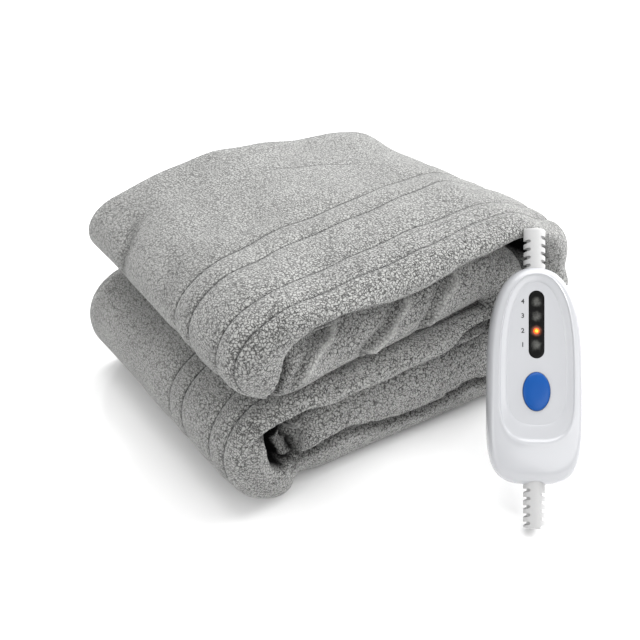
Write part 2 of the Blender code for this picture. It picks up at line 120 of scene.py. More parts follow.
# Sewn lines of the heating channels on the outer ply: distance in from the back edge, and how far
# each wanders from that at places along the strip
SEWN_LINES = (0.0460, 0.1250, 0.1450, 0.1830, 0.2065)
SEWN_WANDER = (
    # along the strip, and each line's shift
    (0.00, 0.000, 0.001, -0.002, -0.001, -0.005),
    (0.27, 0.000, 0.001, -0.002, -0.001, -0.005),
    (0.80, 0.000, 0.010, 0.009, 0.008, 0.004),
    (0.87, 0.000, 0.001, 0.001, 0.002, 0.001),
    (0.93, 0.000, 0.000, 0.000, 0.000, 0.000),
    (1.03, 0.019, -0.017, -0.015, -0.005, -0.007),
    (1.10, 0.019, -0.021, -0.018, -0.008, -0.009),
)
WANDER_SMOOTHING = 0.030    # rounds the corners of those shifts
THREAD_REACH = 0.0012       # half the width of a thread and its needle holes
FIRST_LINE_SPAN = (0.925, 0.945, 1.000, 1.025)   # the back line shows along this part of the strip
SEWN_DEPTH = 0.0010         # how far the thread pulls the cloth in
# The groove along a sewn line, as a narrow one in a wide one: share of the depth, and reach
GROOVES = ((0.6, 0.0008), (1.0, 0.0034))
FIRST_GROOVE = 0.003        # reach of the back line's shallower one
CHANNEL_PUFF = 0.0009       # how far the cloth stands up between the lines
PUFFED = (0.074, 0.2450)    # the outer ply stands up between these distances in from the back
INNER_RELIEF = 0.4          # how much of the relief shows on the sheet's other face
# Columns of the mesh beside each sewn line
BESIDE_LINE = (-0.0048, -0.0026, -0.0012, -0.0005, 0.0, 0.0005, 0.0012, 0.0026, 0.0048)
CLEAR_OF_LINES = 0.0062     # other columns keep this far from them
# Spacing of the mesh: rows in each pass and bend; columns in the outer ply, the hidden ones, the
# lips and the back folds
ROW_STEPS = (0.0045, 0.0034, 0.0026, 0.0045, 0.0045)
BEND_STEPS = (32, 18, 32, 18)
PLY_COLUMN = 0.0075
HIDDEN_COLUMN = 0.040
LIP_STEPS = (36, 10, 6)
BACK_FOLD_STEPS = 3


def ease(value, low, high):
    """0 below low, 1 above high, and a smooth rise between."""
    share = np.clip((value - low) / (high - low), 0.0, 1.0)
    return share * share * (3.0 - 2.0 * share)


def hump(value, centre, reach):
    """1 at the centre, falling off smoothly past the reach on both sides."""
    return np.exp(-((value - centre) / reach) ** 2)


def smooth_table(value, places, heights):
    """A smooth curve through heights at places."""
    result = np.full(np.shape(value), heights[0], dtype=float)
    for first, last, low, high in zip(places, places[1:], heights, heights[1:]):
        result = result + (high - low) * ease(value, first, last)
    return result


def follow(distance, start, heading, legs):
    """Points and left-hand normals at distances along straight runs joined by arcs."""
    found = np.zeros((4, *distance.shape))

    def lay(part, *values):
        found[:, part] = np.stack(np.broadcast_arrays(*values, distance)[:4])[:, part]

    (here, height), angle, done = start, heading, 0.0
    for number, (run, turn, radius) in enumerate(legs):
        lay((distance >= done) | (number == 0), here + (distance - done) * cos(angle),
            height + (distance - done) * sin(angle), -sin(angle), cos(angle))
        here, height, done = here + run * cos(angle), height + run * sin(angle), done + run
        if not turn:
            continue
        side = 1.0 if turn > 0.0 else -1.0
        centre = here - side * radius * sin(angle), height + side * radius * cos(angle)
        now = angle + side * np.clip((distance - done) / radius, 0.0, abs(turn))
        lay(distance >= done, centre[0] + side * radius * np.sin(now),
            centre[1] - side * radius * np.cos(now), -np.sin(now), np.cos(now))
        angle, done = angle + turn, done + abs(turn) * radius
        here = centre[0] + side * radius * sin(angle)
        height = centre[1] - side * radius * cos(angle)
    return found


def crosswise_legs():
    """The sheet's section across the strip, in from the back edge: lips in front, folds behind."""
    legs, way = [], 1.0
    back = STACK_WIDTH - PLY / 2
    edge = back
    for fold, inset in enumerate(LIP_INSETS):
        radius = (HALF_FOLDS - 0.5 - fold) * PLY_PITCH
        lip_centre = PLY / 2 + inset + radius
        legs.append((edge - lip_centre, way * pi, radius))
        last = fold == HALF_FOLDS - 1
        edge = back - BACK_INSETS[fold] - (0.0 if last else PLY_PITCH / 2)
        legs.append((edge - lip_centre, 0.0 if last else way * pi, PLY_PITCH / 2))
        way = -way
    return legs


def stations(legs, run_steps, arc_steps):
    """Distances along the legs at which rows or columns of the mesh stand."""
    places, done = [0.0], 0.0
    for (run, turn, radius), step_length, steps in zip(legs, run_steps, arc_steps):
        count = max(1, round(run / step_length))
        places += [done + run * (step + 1) / count for step in range(count)]
        done += run
        if turn:
            places += [done + abs(turn) * radius * (step + 1) / steps for step in range(steps)]
            done += abs(turn) * radius
    return np.array(places)


def leg_ranges(legs):
    """Where each leg's straight run starts, and how long it is."""
    ranges, done = [], 0.0
    for run, turn, radius in legs:
        ranges.append((done, run))
        done += run + abs(turn) * radius
    return ranges


def set_lips_back(along, across, through):
    """Moves the strip's front edge in from the stack's front, as the setback table says."""
    ranges = leg_ranges(LENGTHWAYS)
    places = [ranges[row[0]][0] + row[1] * ranges[row[0]][1] for row in SETBACKS]
    outer = smooth_table(along, places, [row[2] for row in SETBACKS])
    inner = smooth_table(along, places, [row[3] for row in SETBACKS])
    outer_share = 0.5 + 0.5 * through / STRIP_HALF
    setback = outer * outer_share + inner * (1.0 - outer_share)
    return across + setback * (1.0 - ease(across, 0.0, LIP_FADE))


def settle(x, y, z):
    """The neat stack's points moved to where the soft one lies."""
    half_length, half_width = STACK_LENGTH / 2, STACK_WIDTH / 2
    upper = ease(z, 1.8 * PASS_PITCH, 2.2 * PASS_PITCH)
    # the left bends are drawn out lengthways, the upper one more
    x = x + (0.0085 + 0.0085 * upper) * hump(x - LEFT_BEND, 0.004, 0.036)
    right = ease(x, -half_length, half_length)
    left = 1.0 - ease(x, -half_length, -0.02)
    back = ease(y, -half_width, half_width)
    # plan: the lower bundle's front runs askew, the back spreads at the left, both ends lean in
    front_shift = (0.006 * (1.0 - right) - 0.008 * right) * (1.0 - upper)
    y = y + front_shift * (1.0 - back) + 0.021 * (1.0 - right) * back
    x = x + (0.012 * upper + 0.005 * (1.0 - upper)) * back * left - 0.010 * back * right
    x = x + 0.008 * hump(z, 0.089, 0.012) * back * left
    # the hanging end swells below its turn, and its front corner is slack
    hanging = ease(x, 0.09, 0.15)
    x = x + hanging * 0.005 * hump(z, 0.115, 0.035)
    slack = hump(x, 0.152, 0.032) * hump(z, 0.163, 0.032) * (1.0 - ease(y, -0.113, -0.030))
    x, z = x - 0.009 * slack, z - 0.008 * slack
    # heights of the passes
    levels = [UNDERSIDE] + [PASS_PITCH * number for number in range(1, 5)]
    height = np.zeros_like(z)
    below = np.zeros_like(z)
    for number, (low, high) in enumerate(zip(levels, levels[1:]), 1):
        front_top, back_top = (
            smooth_table(x, [row[0] for row in tops], [row[number] for row in tops])
            for tops in (FRONT_TOPS, BACK_TOPS))
        top = front_top + (back_top - front_top) * back
        height = height + (top - below) * np.clip((z - low) / (high - low), 0.0, 1.0)
        below = top
    return x, y, height


# Folds pressed into the front by the layers' own weight. Each runs along a line of (x, z) points;
# its depth is into the stack, and it fades out at a reach to the line's left and to its right.
FRONT_FOLDS = (
    # points, depth, reach to the left, reach to the right
    # lower edges of the top lip, of the second lip and of the middle layers
    (((-0.1340, 0.1050), (-0.1292, 0.1165), (-0.1240, 0.1256), (-0.1196, 0.1350), (-0.1161, 0.1438),
      (-0.1127, 0.1492), (-0.1035, 0.1553), (-0.0934, 0.1619), (-0.0696, 0.1644), (-0.0441, 0.1604),
      (-0.0160, 0.1546), (0.0105, 0.1489), (0.0522, 0.1578), (0.0820, 0.1587)),
     0.0090, 0.0008, 0.0070),
    (((-0.1320, 0.0790), (-0.1276, 0.0803), (-0.1233, 0.0818), (-0.0943, 0.0841), (-0.0682, 0.0795),
      (-0.0422, 0.0793), (0.0002, 0.0774), (0.0187, 0.0824), (0.0340, 0.0865), (0.0448, 0.0915),
      (0.0620, 0.0955), (0.0800, 0.0975)),
     0.0085, 0.0010, 0.0060),
    (((-0.1024, 0.0335), (-0.0885, 0.0350), (-0.0725, 0.0395), (-0.0583, 0.0430), (-0.0359, 0.0380),
      (-0.0149, 0.0335), (0.0107, 0.0300), (0.0324, 0.0315), (0.0627, 0.0390), (0.0861, 0.0330)),
     0.0085, 0.0012, 0.0060),
    # the thick roll beside the opening of the lower bend, and the groove along it
    (((-0.1045, 0.0740), (-0.1000, 0.0430)), -0.0045, 0.0062, 0.0062),
    (((-0.0972, 0.0746), (-0.0930, 0.0584), (-0.0930, 0.0426), (-0.1003, 0.0327)),
     0.0042, 0.0030, 0.0030),
    # where the second pass dips towards its right bend
    (((0.0520, 0.0880), (0.0800, 0.0850)), 0.0080, 0.0050, 0.0050),
)
CREASE_FOLDS = 5            # the troughs among the first folds above have a crease of painted shade below them
CREASE_REACH = 0.0042
FOLD_POWER = 1.7            # higher makes the folds' floors flatter
# How strong the painted shade on the nap is along a crease, in a deep fold and in a ridge's trough
CREASE_SHADE = 0.65
FOLD_SHADE = 0.35
TROUGH_SHADE = 0.26
SHADED_DEPTH = 0.011        # a fold's painted shade is full from this depth
# Openings between the layers, pressed in and darkened with painted shade: points, depth, reach
GAPS = (
    # inside the lower bend
    (((-0.1195, 0.0690), (-0.1182, 0.0590), (-0.1148, 0.0480)), 0.0280, 0.0110),
    # where the hanging end leaves a gap beside the third and the second pass
    (((0.1060, 0.1490), (0.1190, 0.1400), (0.1215, 0.1290)), 0.0300, 0.0058),
    (((0.0790, 0.0890), (0.0900, 0.0790)), 0.0250, 0.0048),
)
# The thin roll that lies in the opening of the lower bend
ROLL_LINE = ((-0.1148, 0.0620), (-0.1108, 0.0450))
ROLL_RADIUS = 0.0068
ROLL_SHARE = 0.86           # how much of the opening's depth it fills
ROLL_CLEAR = 0.985          # how much of the opening's painted shade it takes away
# Slanting ridges of the third pass, each with a trough along its right: points, height
FRONT_RIDGES = (
    (((-0.0600, 0.1440), (-0.0657, 0.1394), (-0.0721, 0.1345), (-0.0870, 0.1310), (-0.0976, 0.1250),
      (-0.1045, 0.1190)), 0.0042),
    (((0.0040, 0.1400), (0.0029, 0.1357), (-0.0061, 0.1305), (-0.0152, 0.1250), (-0.0264, 0.1195),
      (-0.0372, 0.1130)), 0.0042),
    (((-0.0156, 0.1215), (-0.0287, 0.1160), (-0.0405, 0.1130)), 0.0020),
    (((0.0461, 0.1480), (0.0461, 0.1431), (0.0434, 0.1370), (0.0335, 0.1320), (0.0270, 0.1235),
      (0.0221, 0.1170), (0.0184, 0.1130)), 0.0048),
)
RIDGE_REACH = 0.0026
HIGHLIGHT_REACH_SHARE = 0.5           # the painted highlight's reach along the crest, as a share of the ridge's
TROUGH_AWAY = 0.0058
TROUGH_REACH = 0.0044
TROUGH_SHARE = 0.8          # the trough's depth, as a share of the ridge's height
# Folds of the upper left bend: a line of (y, z) points, depth, reach to the left and to the right
LEFT_FOLDS = (
    (((0.0950, 0.1660), (0.0884, 0.1589), (0.0791, 0.1542), (0.0738, 0.1468), (0.0750, 0.1383),
      (0.0790, 0.1270)), 0.0042, 0.0026, 0.0090),
    (((0.0430, 0.1740), (0.0335, 0.1693), (0.0113, 0.1657), (-0.0028, 0.1537)),
     0.0030, 0.0110, 0.0110),
)
LEFT_FOLDS_X = (-0.135, -0.085)         # full depth up to the first X, none past the second
LEFT_FOLDS_Z = (0.110, 0.130)           # none below the first Z, full depth above the second
LEFT_FOLDS_WAY = (0.7, -0.5)            # they go in along X and down along Z
FOLD_FRONT, FOLD_END = -0.100, -0.040   # full depth in front of the first Y, none behind the second


def signed_distance(x, z, line):
    """Distance from a line of straight pieces, negative to its right."""
    nearest = np.full(x.shape, np.inf)
    result = np.zeros(x.shape)
    for (x1, z1), (x2, z2) in zip(line, line[1:]):
        run_x, run_z = x2 - x1, z2 - z1
        share = np.clip(((x - x1) * run_x + (z - z1) * run_z) / (run_x ** 2 + run_z ** 2), 0.0, 1.0)
        distance = np.hypot(x - x1 - share * run_x, z - z1 - share * run_z)
        side = np.sign(run_x * (z - z1) - run_z * (x - x1))
        result = np.where(distance < nearest, side * distance, result)
        nearest = np.minimum(nearest, distance)
    return result


def pressed(away, left, right):
    """1 on a fold's line, falling off past its reach to the left and to the right."""
    return np.exp(-np.abs(away / np.where(away > 0.0, left, right)) ** FOLD_POWER)


def press_front(x, z, front):
    """How far the front's points go in, and how much painted shade and painted highlight their nap gets.
    """
    push, crease, opening, crest = (np.zeros_like(x) for _ in range(4))
    for number, (line, depth, left, right) in enumerate(FRONT_FOLDS):
        away = signed_distance(x, z, line)
        push += depth * pressed(away, left, right)
        if number < CREASE_FOLDS and depth > 0.0:
            crease = np.maximum(crease, front * hump(away, -CREASE_REACH, CREASE_REACH))
    roll = np.sqrt(np.clip(1.0 - (signed_distance(x, z, ROLL_LINE) / ROLL_RADIUS) ** 2, 0.0, 1.0))
    for line, depth, reach in GAPS:
        inside = np.exp(-(signed_distance(x, z, line) / reach) ** 6)
        push += depth * inside * (1.0 - ROLL_SHARE * roll)
        opening = np.maximum(opening, front * inside * (1.0 - ROLL_CLEAR * ease(roll, 0.60, 0.95)))
    # Painted shade in deep folds, along creases, in the openings and over the roll
    hollow = FOLD_SHADE * ease(push * front, 0.0, SHADED_DEPTH)
    hollow = np.maximum(np.maximum(hollow, CREASE_SHADE * crease), ease(opening, 0.02, 0.30))
    hollow = np.maximum(hollow, FOLD_SHADE * front * ease(roll, 0.0, 0.5))
    # Each ridge gets painted shade in its trough and a painted highlight along its crest
    for line, rise in FRONT_RIDGES:
        away = signed_distance(x, z, line)
        trough = pressed(away + TROUGH_AWAY, TROUGH_REACH, TROUGH_REACH)
        push += rise * (TROUGH_SHARE * trough - pressed(away, RIDGE_REACH, RIDGE_REACH))
        hollow = np.maximum(hollow, TROUGH_SHADE * front * trough)
        crest = np.maximum(crest, front * pressed(away / HIGHLIGHT_REACH_SHARE, RIDGE_REACH, RIDGE_REACH))
    return push, hollow, crest


def crumple(points):
    """Presses the folds into the settled stack, and makes its faces a little uneven."""
    x, y, z = points.T.copy()
    front = 1.0 - ease(y, FOLD_FRONT, FOLD_END)
    push, hollow, crest = press_front(x, z, front)
    y = y + push * front
    for line, depth, left, right in LEFT_FOLDS:
        sunk = depth * pressed(signed_distance(y, z, line), left, right)
        sunk = sunk * (1.0 - ease(x, *LEFT_FOLDS_X)) * ease(z, *LEFT_FOLDS_Z)
        x, z = x + LEFT_FOLDS_WAY[0] * sunk, z + LEFT_FOLDS_WAY[1] * sunk
        # painted shade in the left bend's folds
        hollow = np.maximum(hollow, FOLD_SHADE * ease(sunk, 0.0018, 0.0042))
    # the third pass and the hanging end lie further out at the front
    aside = hump(x, 0.118, 0.028) * hump(z, 0.108, 0.040)
    x = x + 0.012 * aside * (1.0 - ease(y, -0.090, -0.020))
    # long low waves over the upper faces
    lift = 0.0010 * np.sin(52.0 * x + 3.0 * np.sin(31.0 * y)) * np.sin(47.0 * y + 1.3)
    lift += 0.0006 * np.sin(118.0 * x - 66.0 * y + 0.7)
    return np.stack([x, y, z + lift * ease(z, 0.0, 0.10)], axis=-1), hollow, crest


def wander_columns(along, columns):
    """Moves the mesh's columns so that some of them follow the sewn lines."""
    places = [row[0] for row in SEWN_WANDER]
    lip_end = crosswise_legs()[0][0] + pi * OUTER_PLY
    knots = np.array([0.0, *SEWN_LINES, lip_end])
    moved = np.zeros((len(along), len(knots)))
    nearby = np.linspace(-WANDER_SMOOTHING, WANDER_SMOOTHING, 9)
    for number in range(1, len(SEWN_LINES) + 1):
        shifts = [row[number] for row in SEWN_WANDER]
        moved[:, number] = np.mean([np.interp(along + step, places, shifts) for step in nearby], axis=0)
    moved += knots
    result = np.empty((len(along), len(columns)))
    for row, targets in enumerate(moved):
        result[row] = np.where(columns < lip_end, np.interp(columns, knots, targets), columns)
    return result


def sewn_relief(columns):
    """How far each column stands out or in for the sewn lines, and how close it is to a thread."""
    edges = [PUFFED[0], *SEWN_LINES[1:], PUFFED[1]]
    relief = np.zeros_like(columns)
    for low, high in zip(edges, edges[1:]):
        share = np.clip((columns - low) / (high - low), 0.0, 1.0)
        relief += CHANNEL_PUFF * (1.0 - np.abs(2.0 * share - 1.0) ** 2.6)
    thread = np.zeros_like(columns)
    for line in SEWN_LINES[1:]:
        gap = np.abs(columns - line)
        for share, reach in GROOVES:
            relief -= share * SEWN_DEPTH * np.exp(-(gap / reach) ** 1.5)
        thread = np.maximum(thread, np.clip(1.0 - gap / THREAD_REACH, 0.0, 1.0))
    return relief, thread


def folded_blanket():
    """The whole sheet, both its faces followed along the strip and across it."""
    crosswise = crosswise_legs()
    rows = stations(LENGTHWAYS, ROW_STEPS, BEND_STEPS + (0,))
    run_steps = [PLY_COLUMN] + [HIDDEN_COLUMN] * 5
    arc_steps = [steps for lip in LIP_STEPS for steps in (lip, BACK_FOLD_STEPS)]
    columns = stations(crosswise, run_steps, arc_steps)
    beside = np.add.outer(np.array(SEWN_LINES), np.array(BESIDE_LINE)).ravel()
    far = np.all(np.abs(columns[:, None] - np.array(SEWN_LINES)) > CLEAR_OF_LINES, axis=1)
    columns = np.sort(np.concatenate([columns[far], beside]))
    relief, thread = sewn_relief(columns)
    shows = ease(rows, *FIRST_LINE_SPAN[:2]) - ease(rows, *FIRST_LINE_SPAN[2:])
    from_first = np.abs(columns - SEWN_LINES[0])
    relief = relief - np.outer(shows, SEWN_DEPTH * np.exp(-(from_first / FIRST_GROOVE) ** 1.5))
    thread = thread + np.outer(shows, np.clip(1.0 - from_first / THREAD_REACH, 0.0, 1.0))
    across_cloth = wander_columns(rows, columns)
    along = np.broadcast_to(rows[:, None], across_cloth.shape)
    section = follow(across_cloth, (STACK_WIDTH - PLY / 2, OUTER_PLY), pi, crosswise)
    faces_of_cloth, painted_shades, ridge_highlights = [], [], []
    for side in (-1.0, 1.0):
        out = side * PLY / 2 - relief * (1.0 if side < 0.0 else INNER_RELIEF)
        across = section[0] + section[2] * out
        through = section[1] + section[3] * out
        across = set_lips_back(along, across, through)
        x, z, out_x, out_z = follow(along, (PASS_1_END, PASS_PITCH / 2), pi, LENGTHWAYS)
        x, y, z = settle(x + out_x * through, across - STACK_WIDTH / 2, z + out_z * through)
        points, hollow, crest = crumple(np.stack([x.ravel(), y.ravel(), z.ravel()], axis=-1))
        faces_of_cloth.append(points.reshape(*x.shape, 3))
        painted_shades.append(hollow)
        ridge_highlights.append(crest)
    cloth_map = np.stack([along, np.broadcast_to(columns, along.shape)], axis=-1)
    all_x, all_y = (np.concatenate([points[..., axis].ravel() for points in faces_of_cloth])
                    for axis in (0, 1))
    # Marks for the fleece: the threads, painted shade, painted highlights on ridges, and where the nap
    # lies open
    marks = {
        "thread": np.concatenate([thread.ravel(), np.zeros(along.size)]),
        "hollow": np.concatenate(painted_shades),
        "crest": np.concatenate(ridge_highlights),
        "open_nap": (1.0 - ease(all_y, -0.125, 0.000)) * (1.0 - 0.8 * ease(all_x, 0.100, 0.150)),
    }
    return closed_sheet(*faces_of_cloth, cloth_map, marks)


def closed_sheet(outside, inside, cloth_map, marks):
    """One closed mesh from the two faces of a sheet, with its place on the flat cloth as UV."""
    mesh_points = np.concatenate([outside.reshape(-1, 3), inside.reshape(-1, 3)])
    row_count, column_count = outside.shape[:2]
    number = np.arange(row_count * column_count).reshape(row_count, column_count)
    offset = number.size
    corners = number[:-1, :-1], number[:-1, 1:], number[1:, 1:], number[1:, :-1]
    quads = [np.stack(corners, axis=-1).reshape(-1, 4),
             np.stack(corners[::-1], axis=-1).reshape(-1, 4) + offset]
    for edge in (number[0, ::-1], number[-1], number[:, 0], number[::-1, -1]):
        rim = edge[:-1], edge[1:], edge[1:] + offset, edge[:-1] + offset
        quads.append(np.stack(rim, axis=-1))
    mesh = bpy.data.meshes.new("blanket_cloth")
    mesh.from_pydata(mesh_points.tolist(), [], np.concatenate(quads).tolist())
    loops = np.zeros(len(mesh.loops), dtype=np.int32)
    mesh.loops.foreach_get("vertex_index", loops)
    places = np.concatenate([cloth_map.reshape(-1, 2), cloth_map.reshape(-1, 2)])
    uv = mesh.uv_layers.new(name="cloth")
    uv.data.foreach_set("uv", places[loops].ravel().astype(np.float32))
    for name, values in marks.items():
        mark = mesh.attributes.new(name, "FLOAT", "POINT")
        mark.data.foreach_set("value", values.astype(np.float32))
    mesh.shade_smooth()
    return mesh


def add_object(name, data):
    """An object in the scene's collection."""
    added = bpy.data.objects.new(name, data)
    bpy.context.collection.objects.link(added)
    return added


def feed(tree, node, inputs):
    """Links a node's inputs to sockets, or sets them to values."""
    for name, value in inputs.items():
        if isinstance(value, bpy.types.NodeSocket):
            tree.links.new(value, node.inputs[name])
        else:
            node.inputs[name].default_value = value


def add_node(tree, kind, inputs=None, **settings):
    """A shader node with its settings and its inputs."""
    node = tree.nodes.new(kind)
    for name, value in settings.items():
        setattr(node, name, value)
    feed(tree, node, inputs or {})
    return node


def new_material(name):
    """A material with its node tree and its shader."""
    material = bpy.data.materials.new(name)
    material.use_nodes = True
    tree = material.node_tree
    return material, tree, tree.nodes["Principled BSDF"]


def calculate(tree, operation, first, second=0.0, third=0.0):
    """The result of a sum on two or three sockets or numbers."""
    return add_node(tree, "ShaderNodeMath", {0: first, 1: second, 2: third},
                    operation=operation).outputs[0]


def ramp(tree, value, stops):
    """A colour ramp; each stop is its place and a grey value or a colour."""
    node = add_node(tree, "ShaderNodeValToRGB", {"Fac": value})
    elements = node.color_ramp.elements
    for number, (place, colour) in enumerate(stops):
        stop = elements[number] if number < 2 else elements.new(place)
        stop.position = place
        colour = (colour,) * 3 if isinstance(colour, float) else colour
        stop.color = (*colour, 1.0)
    return node.outputs["Color"]


def mix_colours(tree, factor, first, second, blend="MIX"):
    """The first colour with a share of the second laid over it."""
    second = (*second, 1.0) if isinstance(second, tuple) else second
    return add_node(tree, "ShaderNodeMix", {0: factor, 6: first, 7: second},
                    data_type="RGBA", blend_type=blend).outputs[2]


def noise(tree, scale, detail, place=None, roughness=0.5):
    """The outputs of a noise texture, laid out by the object's own box if no place is given."""
    inputs = {"Scale": scale, "Detail": detail, "Roughness": roughness}
    if place is not None:
        inputs["Vector"] = place
    return add_node(tree, "ShaderNodeTexNoise", inputs).outputs


def uneven_material(name, scale, detail, tones, surface):
    """A plain material whose tone varies a little from the first to the second."""
    material, tree, shader = new_material(name)
    speck = noise(tree, scale, detail)["Fac"]
    feed(tree, shader, {"Base Color": ramp(tree, speck, tuple(zip((0.3, 0.7), tones))), **surface})
    return material


# The nap's colours: between the tufts (painted shade), their sides, their tips, painted highlights on
# ridges, and painted shade in folds and openings
NAP_GAP_SHADE = (0.062, 0.062, 0.060)
NAP_BODY = (0.200, 0.200, 0.194)
NAP_TIP = (0.350, 0.352, 0.340)
NAP_RIDGE_HIGHLIGHT = (0.560, 0.560, 0.545)
NAP_PAINTED_SHADE = (0.003, 0.003, 0.003)
THREAD_COLOUR = (0.030, 0.030, 0.030)
RIDGE_HIGHLIGHT_SHARE = 0.75           # how much of the painted highlight shows on the ridges
TUFTS_PER_METRE = 430.0
DRIFTS_PER_METRE = 380.0    # the tufts lean and break up at this scale
TUFT_DRIFT = 0.0030         # how far they lean
FIBRES_PER_METRE = 1500.0
PATCHES_PER_METRE = 24.0    # patches brushed one way or the other
NAP_LEVEL = 0.65            # the nap's middle height, as a share of its full height
NAP_HEIGHT = 0.0010
STITCH = 0.0032             # length of one stitch
SHEEN = 0.45


def fleece_material():
    """Short plush nap: curly tufts with painted shade in the gaps between, more open at the folds;
    painted shade in the folds and openings, painted highlights along the ridges.
    """
    material, tree, shader = new_material("grey plush fleece")
    cloth = add_node(tree, "ShaderNodeUVMap", uv_map="cloth").outputs["UV"]
    place = add_node(tree, "ShaderNodeTexCoord").outputs["Object"]
    drift = noise(tree, DRIFTS_PER_METRE, 1.0, place)
    leaning = add_node(tree, "ShaderNodeVectorMath", {
        0: drift["Color"], 1: (TUFT_DRIFT,) * 3, 2: place}, operation="MULTIPLY_ADD").outputs[0]
    curls = add_node(tree, "ShaderNodeTexVoronoi", {
        "Vector": leaning, "Scale": TUFTS_PER_METRE}, feature="DISTANCE_TO_EDGE").outputs["Distance"]
    curls = calculate(tree, "SUBTRACT", curls, 0.095)
    curls = calculate(tree, "MULTIPLY_ADD", drift["Fac"], 0.20, curls)
    fibres = noise(tree, FIBRES_PER_METRE, 2.0, place, 0.6)["Fac"]
    brushed = noise(tree, PATCHES_PER_METRE, 3.0, cloth, 0.55)["Fac"]
    marks = {name: add_node(tree, "ShaderNodeAttribute", attribute_name=name).outputs["Fac"]
             for name in ("thread", "hollow", "crest", "open_nap")}
    tufts = add_node(tree, "ShaderNodeMapRange", {
        "Value": curls, "From Min": 0.0, "From Max": 0.22, "To Min": 0.0, "To Max": 1.0},
        interpolation_type="SMOOTHSTEP").outputs[0]
    height = calculate(tree, "MULTIPLY_ADD", fibres, 0.50, calculate(tree, "MULTIPLY", tufts, 0.75))
    open_share = calculate(tree, "MULTIPLY_ADD", marks["open_nap"], 0.38, 0.72)
    nap = calculate(tree, "SUBTRACT", height, NAP_LEVEL)
    nap = calculate(tree, "MULTIPLY_ADD", nap, open_share, NAP_LEVEL)
    # the nap coloured by its height: painted shade in the gaps between the tufts, lighter tips
    colour = ramp(tree, nap, ((0.25, NAP_GAP_SHADE), (0.60, NAP_BODY), (1.00, NAP_TIP)))
    patch = ramp(tree, brushed, ((0.35, 0.92), (0.65, 1.05)))
    colour = mix_colours(tree, 1.0, colour, patch, "MULTIPLY")
    # painted shade in folds, creases and openings
    colour = mix_colours(tree, marks["hollow"], colour, NAP_PAINTED_SHADE)
    # painted highlight along the ridges
    crest = calculate(tree, "MULTIPLY", marks["crest"], RIDGE_HIGHLIGHT_SHARE)
    colour = mix_colours(tree, crest, colour, NAP_RIDGE_HIGHLIGHT)
    stitch = add_node(tree, "ShaderNodeTexWave", {
        "Vector": cloth, "Scale": 2.0 * pi / STITCH / 20.0}, wave_profile="SIN",
        bands_direction="X").outputs["Fac"]
    stitch = calculate(tree, "MULTIPLY_ADD", stitch, 0.55, 0.60)
    sewn = calculate(tree, "MULTIPLY", marks["thread"], stitch)
    colour = mix_colours(tree, sewn, colour, THREAD_COLOUR)
    bump = add_node(tree, "ShaderNodeBump", {"Height": nap, "Strength": 1.0, "Distance": NAP_HEIGHT})
    # no sheen where shade is painted
    sheen = calculate(tree, "MULTIPLY_ADD", marks["hollow"], -SHEEN, SHEEN)
    feed(tree, shader, {
        "Base Color": colour, "Normal": bump.outputs["Normal"], "Roughness": 0.95,
        "Specular IOR Level": 0.10, "Sheen Weight": sheen, "Sheen Roughness": 0.40})
    return material


blanket = add_object("blanket_cloth", folded_blanket())
blanket.data.materials.append(fleece_material())
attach(blanket, "folded_blanket")
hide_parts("blanket")


# ==== Controller housing ====
# Two moulded shells of white gloss plastic, 162 x 71 mm, closed along a fine parting line.
# The face is a shallow dish inside a raised rim, and its flat floor holds window and button.

CONTROLLER_FOOT = (0.0158, -0.2371, 0.0049)
CONTROLLER_TURN = radians(37.2)     # its back faces round from +Y towards +X
CONTROLLER_LEAN = radians(40.8)     # back from upright
CONTROLLER_PLACE = (Matrix.Translation(CONTROLLER_FOOT) @ Matrix.Rotation(-CONTROLLER_TURN, 4, "Z")
                    @ Matrix.Rotation(pi / 2 - CONTROLLER_LEAN, 4, "X"))
BODY_LENGTH = 0.162
BODY_HALF_WIDTH = 0.0357
WIDEST = 0.44               # share of the body's length below its widest place
LOWER_RELIEF = 0.0322       # lengths of the strain reliefs that stand out of the body
UPPER_RELIEF = 0.0294
RELIEF_RADIUS = 0.0081
RELIEF_SEAT = 0.007         # depth that a relief goes into the body
WALL = 0.002
FIT = 0.0003                # clearance between neighbouring pieces
CUTTER_SPARE = 0.004        # the seats' cutters reach this far past the body, the openings' twice
PARTING = FIT / 2
DISH_FLOOR = 0.0112         # heights over the parting plane
BACK_DEPTH = 0.0140
WINDOW_HEIGHT = 0.732       # share of the body's length
WINDOW_LENGTH = 0.0500
WINDOW_WIDTH = 0.0112
BUTTON_HEIGHT = 0.425
BUTTON_WIDTH = 0.0202
BUTTON_LENGTH = 0.0286
AROUND = 168                # points round an outline
ROW_SHARES = (0.0, 0.25, 0.5, 0.75)     # finer rows from each row of the tables to the next

# Outlines: share of the body's length at bottom, widest and top, half width, powers below and above
OUTLINES = {
    # name: bottom, widest, top, half width, (power along, power across) below, above
    "body": (0.0, WIDEST, 1.0, BODY_HALF_WIDTH, (5.0, 3.3), (3.0, 2.3)),
    "dish": (0.194, 0.457, 0.965, 0.0277, (3.6, 3.0), (3.0, 2.3)),
    "floor": (0.277, 0.457, 0.925, 0.0215, (3.2, 2.8), (3.0, 2.3)),
    "back": (0.16, WIDEST, 0.86, 0.0225, (4.0, 3.0), (3.0, 2.3)),
}
